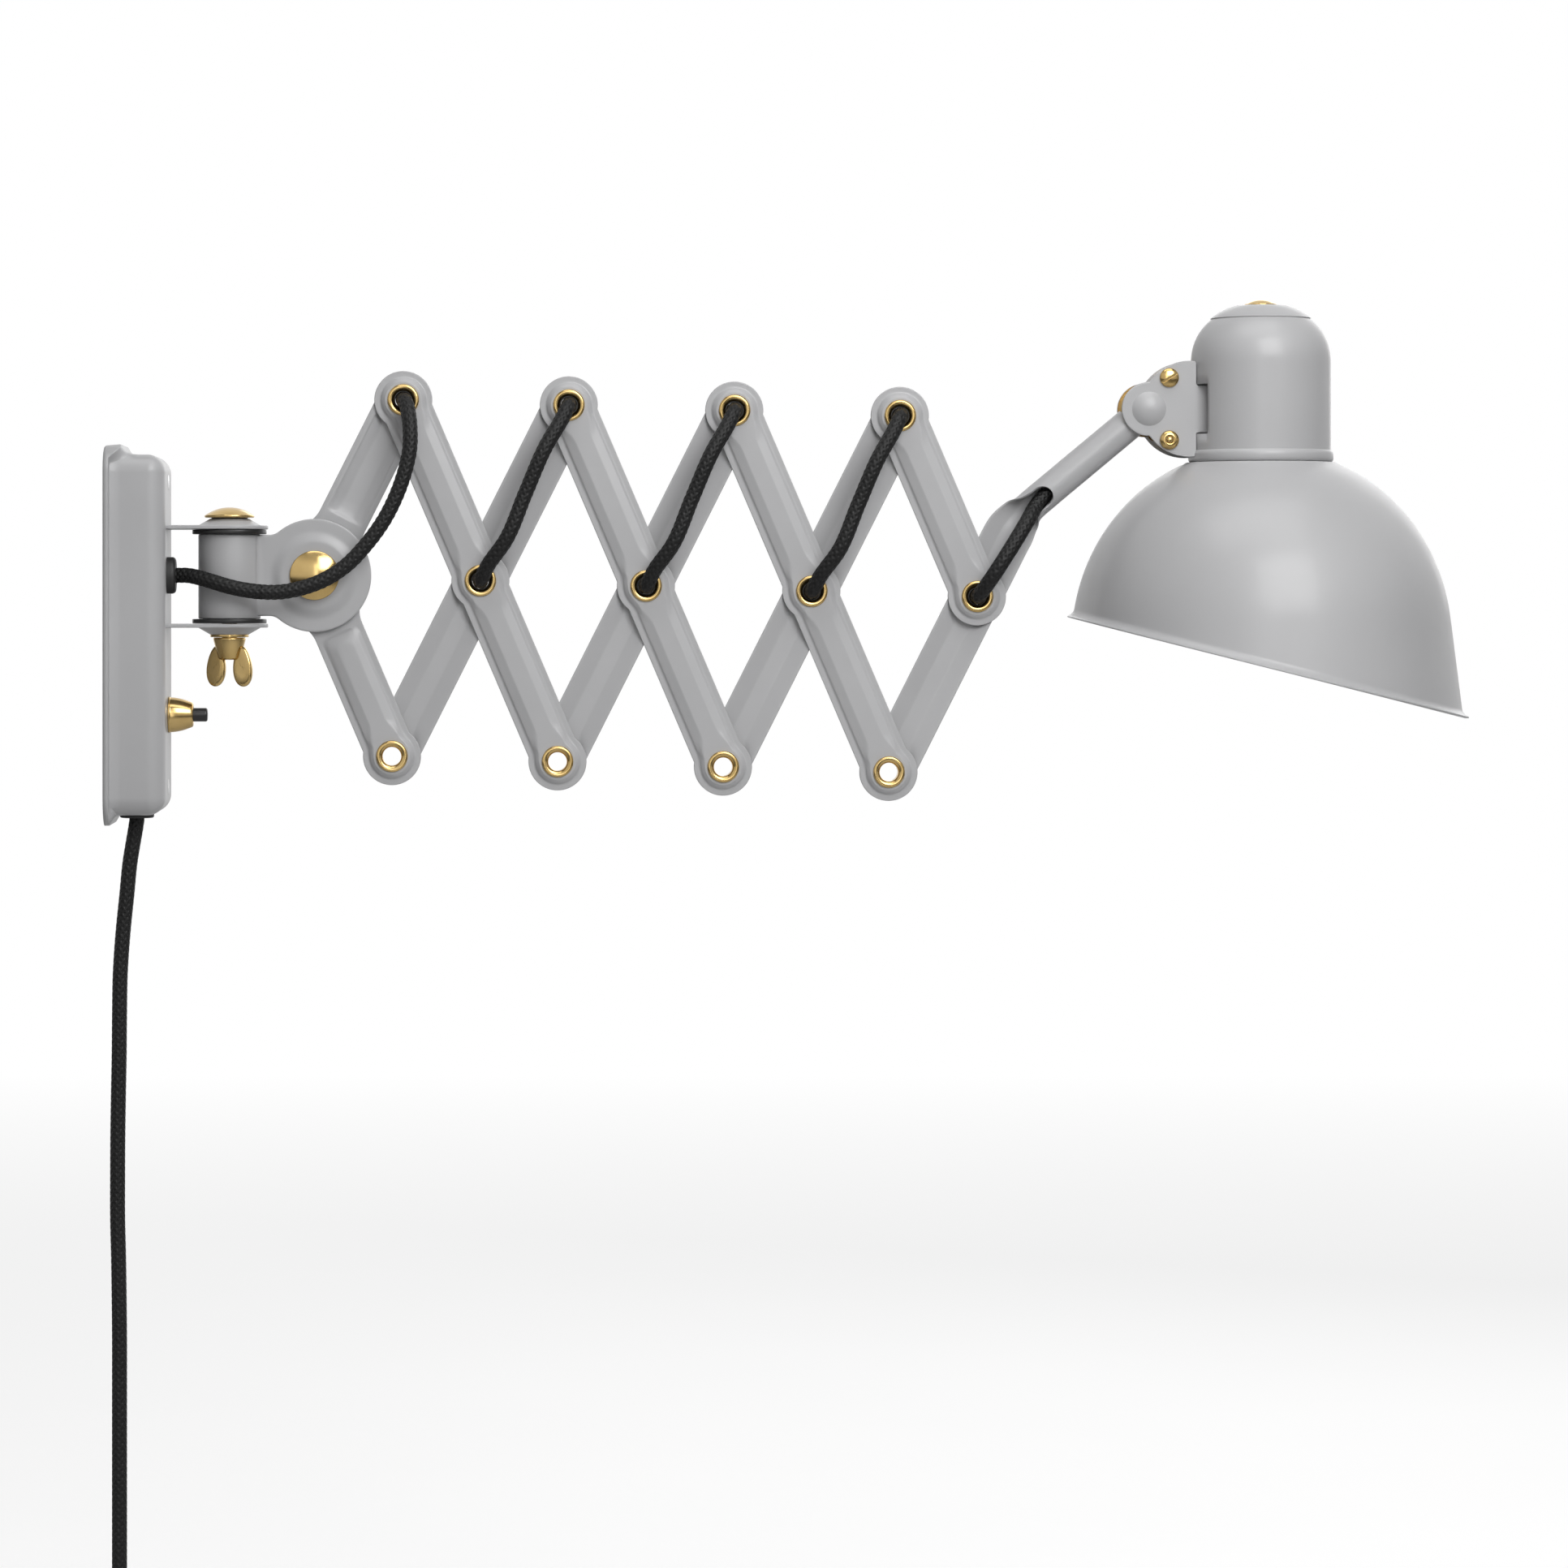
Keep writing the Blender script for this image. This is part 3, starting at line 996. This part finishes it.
def coil_points():
    """Straight in, turns that spiral in and out again in two layers, straight out: the radius falls and
    rises at a steady rate, and the layer changes in the half turn at the middle."""
    t = np.linspace(0, 5, 5 * 48 + 1)
    r = 54 - 8.8 * np.minimum(t, 5 - t)
    x = 6 + 8.7 * np.clip(2 * (t - 2.5) + 0.5, 0, 1)
    turns = np.stack([x, 54 - r * np.cos(TURN * t), -566 - r * np.sin(TURN * t)], 1)
    lead_in = np.array([[6, 0, -558], [6, 0, -562]])
    lead_out = np.array([[14.7, 0, -570], [14.7, 0, -574], [14.7, 0, -583], [14.7, 0, -592]])
    return np.concatenate([lead_in, turns, lead_out])


def square_to(a, b):
    side = np.cross(b - a, [0, 1, 0])
    return side / np.linalg.norm(side)


lead_line = smooth_path(LEAD, 1.2)
cut = int(np.argmax(lead_line[:, 0] > 81))
lead_a = cord_piece("lead_cord_wall", lead_line[:cut + 1], node="lead_cord")
lead_b = cord_piece("lead_cord_arm", lead_line[cut:])
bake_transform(lead_a)
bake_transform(lead_b)
for i in (1, 2, 3, 4):
    cord_piece(f"cord_behind_{i}", run_points(top(i), mid(i), 1), f"rear_cord_{i}", f"front_{i}",
               first=square_to(top(i), mid(i)))
for i in (1, 2, 3):
    cord_piece(f"cord_before_{i}", run_points(mid(i), top(i + 1), -1), f"front_cord_{i}", f"rear_{i}",
               first=square_to(mid(i), top(i + 1)))
cord_piece("cord_to_tube", arm_run_points(), "arm_cord", "arm", first=square_to(mid(4), BEND))
cord_piece("tail", TAIL, "tail_cord", "housing", step=0.5, first=(0, 1, 0))


def tie_grid(half_x, half_z, corner):
    """A band round a rounded rectangle: for each direction, the centre of its corner plus the corner's radius and
    the section's thickness in that direction; the section runs across the band and closes on itself."""
    section = np.array([(0, -4.4), (0, 4.4), (0.1, 4.5), *arc((0.5, 4.1), 0.4, 90, 0, 4),
                        *arc((0.5, -4.1), 0.4, 0, -90, 4), (0.1, -4.5), (0, -4.4)])
    a = (np.arange(48) + 0.5) / 48 * TURN
    out = corner + section[:, :1]
    x = 10.35 + np.sign(np.cos(a)) * (half_x - corner) + out * np.cos(a)
    z = -609 + np.sign(np.sin(a)) * (half_z - corner) + out * np.sin(a)
    return np.stack(np.broadcast_arrays(x, 54 + section[:, 1:], z), -1), True


closed_piece("coil_tie", [tie_grid(8.6, 13.2, 4.3)], "housing", "black_rubber", RUBBER)
cord_piece("coil", coil_points(), "cord_coil", "housing", step=3, sides=14, first=(1, 0, 0),
           depth=0)


# Finishes and softened edges on the pieces of the part itself

FINISHES = {
    GREY: ["yoke"],
    BRASS: ["base_nut", "clamp_liners", "clamp_nuts", "terminal_screws"],
    STEEL: ["wall_bracket", "yoke_screws", "ball_stud"],
    RUBBER: ["lead_grommet", "tail_grommet", "cord_sleeve", "inner_wires", "head_wires", "plug"],
    PLASTIC: ["switch_body", "swivel_bushes", "friction_washers"],
    CERAMIC: ["terminal_block", "lampholder"],
}
for material, names in FINISHES.items():
    for name in names:
        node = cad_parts[name]
        for k in range(len(node.material_slots)):
            node.material_slots[k].link = "OBJECT"
            node.material_slots[k].material = material
for name, width in (("yoke", 0.5), ("plug", 1.5), ("swivel_bushes", 0.4)):
    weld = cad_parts[name].modifiers.new("weld", "WELD")
    weld.merge_threshold = 0.00001
    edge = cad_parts[name].modifiers.new("edge", "BEVEL")
    edge.width, edge.segments, edge.limit_method, edge.angle_limit = width * MM, 3, "ANGLE", math.radians(35)
    edge.harden_normals = True


# Floor, backdrop and light

def add_stage():
    """A pale floor well below the lamp. The camera and shiny faces see white behind the lamp; in front of it shiny
    faces see a room that is darker low down, with bright boxes, so that brass has contrast."""
    mesh = bpy.data.meshes.new("floor")
    mesh.from_pydata([(-12, -7, -0.72), (12, -7, -0.72), (12, 24, -0.72), (-12, 24, -0.72)], [], [(0, 1, 2, 3)])
    floor = bpy.data.objects.new("floor", mesh)
    bpy.context.scene.collection.objects.link(floor)
    material, tree, shader = new_material("pale_floor")
    shader.inputs["Roughness"].default_value = 0.9
    shader.inputs["Specular IOR Level"].default_value = 0.0
    at = tree.nodes.new("ShaderNodeTexCoord").outputs["Object"]
    tree.links.new(ramp(tree, noise(tree, at, 3), [(0.2, (0.80, 0.80, 0.80)), (0.8, (0.84, 0.84, 0.84))]),
                   shader.inputs["Base Color"])
    split = tree.nodes.new("ShaderNodeSeparateXYZ")
    tree.links.new(at, split.inputs[0])
    far = spread(tree, split.outputs[1], 0.0, 1.0, 0.5, 5.0)
    white = tree.nodes.new("ShaderNodeEmission")
    white.inputs["Strength"].default_value = 1.0
    lit = tree.nodes.new("ShaderNodeAddShader")
    lift = tree.nodes.new("ShaderNodeEmission")
    lift.inputs["Strength"].default_value = 0.6
    path = tree.nodes.new("ShaderNodeLightPath").outputs["Is Camera Ray"]
    only = tree.nodes.new("ShaderNodeMixShader")
    none = tree.nodes.new("ShaderNodeEmission")
    none.inputs["Strength"].default_value = 0.0
    for k, socket in enumerate((path, none.outputs[0], lift.outputs[0])):
        tree.links.new(socket, only.inputs[k])
    tree.links.new(shader.outputs[0], lit.inputs[0])
    tree.links.new(only.outputs[0], lit.inputs[1])
    fade = tree.nodes.new("ShaderNodeMixShader")
    for k, socket in enumerate((far, lit.outputs[0], white.outputs[0])):
        tree.links.new(socket, fade.inputs[k])
    out = next(n for n in tree.nodes if n.type == "OUTPUT_MATERIAL")
    tree.links.new(fade.outputs[0], out.inputs[0])
    floor.data.materials.append(material)

    world = bpy.data.worlds.new("studio")
    bpy.context.scene.world = world
    world.use_nodes = True
    tree = world.node_tree
    tree.nodes.clear()
    out = tree.nodes.new("ShaderNodeOutputWorld")
    seen = tree.nodes.new("ShaderNodeBackground")
    seen.inputs["Color"].default_value = (1, 1, 1, 1)
    room = tree.nodes.new("ShaderNodeBackground")
    room.inputs["Color"].default_value = (1, 1, 1, 1)
    room.inputs["Strength"].default_value = 0.1
    mirrored = tree.nodes.new("ShaderNodeBackground")
    split = tree.nodes.new("ShaderNodeSeparateXYZ")
    tree.links.new(tree.nodes.new("ShaderNodeTexCoord").outputs["Generated"], split.inputs[0])

    def bands(axis, stops):
        return ramp(tree, spread(tree, split.outputs[axis], 0, 1, -1, 1), [(place, (v, v, v)) for place, v in stops])
    across = bands(0, [(0.0, 0.5), (0.1, 0.9), (0.5, 0.9), (0.53, 0.25), (0.6, 0.25), (0.65, 0.8), (0.9, 0.6), (1.0, 0.3)])
    upward = bands(2, [(0.0, 0.03), (0.15, 0.12), (0.28, 0.35), (0.45, 0.9), (0.75, 1.0), (0.88, 0.5), (0.97, 0.1)])
    box = linked(tree, "ShaderNodeMath", [(0, across), (1, upward)], settings=[("operation", "MULTIPLY")])
    behind = spread(tree, split.outputs[1], 0, 1, 0.2, 0.5)
    tree.links.new(linked(tree, "ShaderNodeMath", [(0, box), (1, behind)], settings=[("operation", "MAXIMUM")]),
                   mirrored.inputs["Color"])
    path = tree.nodes.new("ShaderNodeLightPath")
    clear = linked(tree, "ShaderNodeMath", [(0, path.outputs["Is Camera Ray"]), (1, path.outputs["Is Transmission Ray"])],
                   settings=[("operation", "MAXIMUM")])
    shiny, pick = tree.nodes.new("ShaderNodeMixShader"), tree.nodes.new("ShaderNodeMixShader")
    for k, socket in enumerate((path.outputs["Is Glossy Ray"], room.outputs[0], mirrored.outputs[0])):
        tree.links.new(socket, shiny.inputs[k])
    for k, socket in enumerate((clear, shiny.outputs[0], seen.outputs[0])):
        tree.links.new(socket, pick.inputs[k])
    tree.links.new(pick.outputs[0], out.inputs[0])


def add_lamp(name, place, aim, size, power):
    data = bpy.data.lights.new(name, "AREA")
    data.shape = "RECTANGLE"
    data.size, data.size_y = size
    data.energy = power
    lamp = bpy.data.objects.new(name, data)
    lamp.location = place
    direction = np.array(aim, float) - np.array(place, float)
    lamp.rotation_euler = (
        math.atan2(math.hypot(direction[0], direction[1]), -direction[2]), 0,
        math.atan2(direction[1], direction[0]) - math.pi / 2)
    bpy.context.scene.collection.objects.link(lamp)


add_stage()
add_lamp("softbox_right", (0.82, -1.3, 0.85), (0.45, 0, 0), (0.9, 0.9), 17.6)
add_lamp("softbox_above", (0.4, -0.5, 1.7), (0.4, 0, 0), (1.6, 1.0), 14)
add_lamp("softbox_behind", (1.2, 2.2, 0.8), (0.35, 0, 0), (1.8, 1.4), 10)
add_lamp("strip_in_front", (0.25, -2.3, 0.3), (0.3, 0, 0), (0.35, 1.8), 4)
scene = bpy.context.scene
scene.view_settings.view_transform = "Standard"
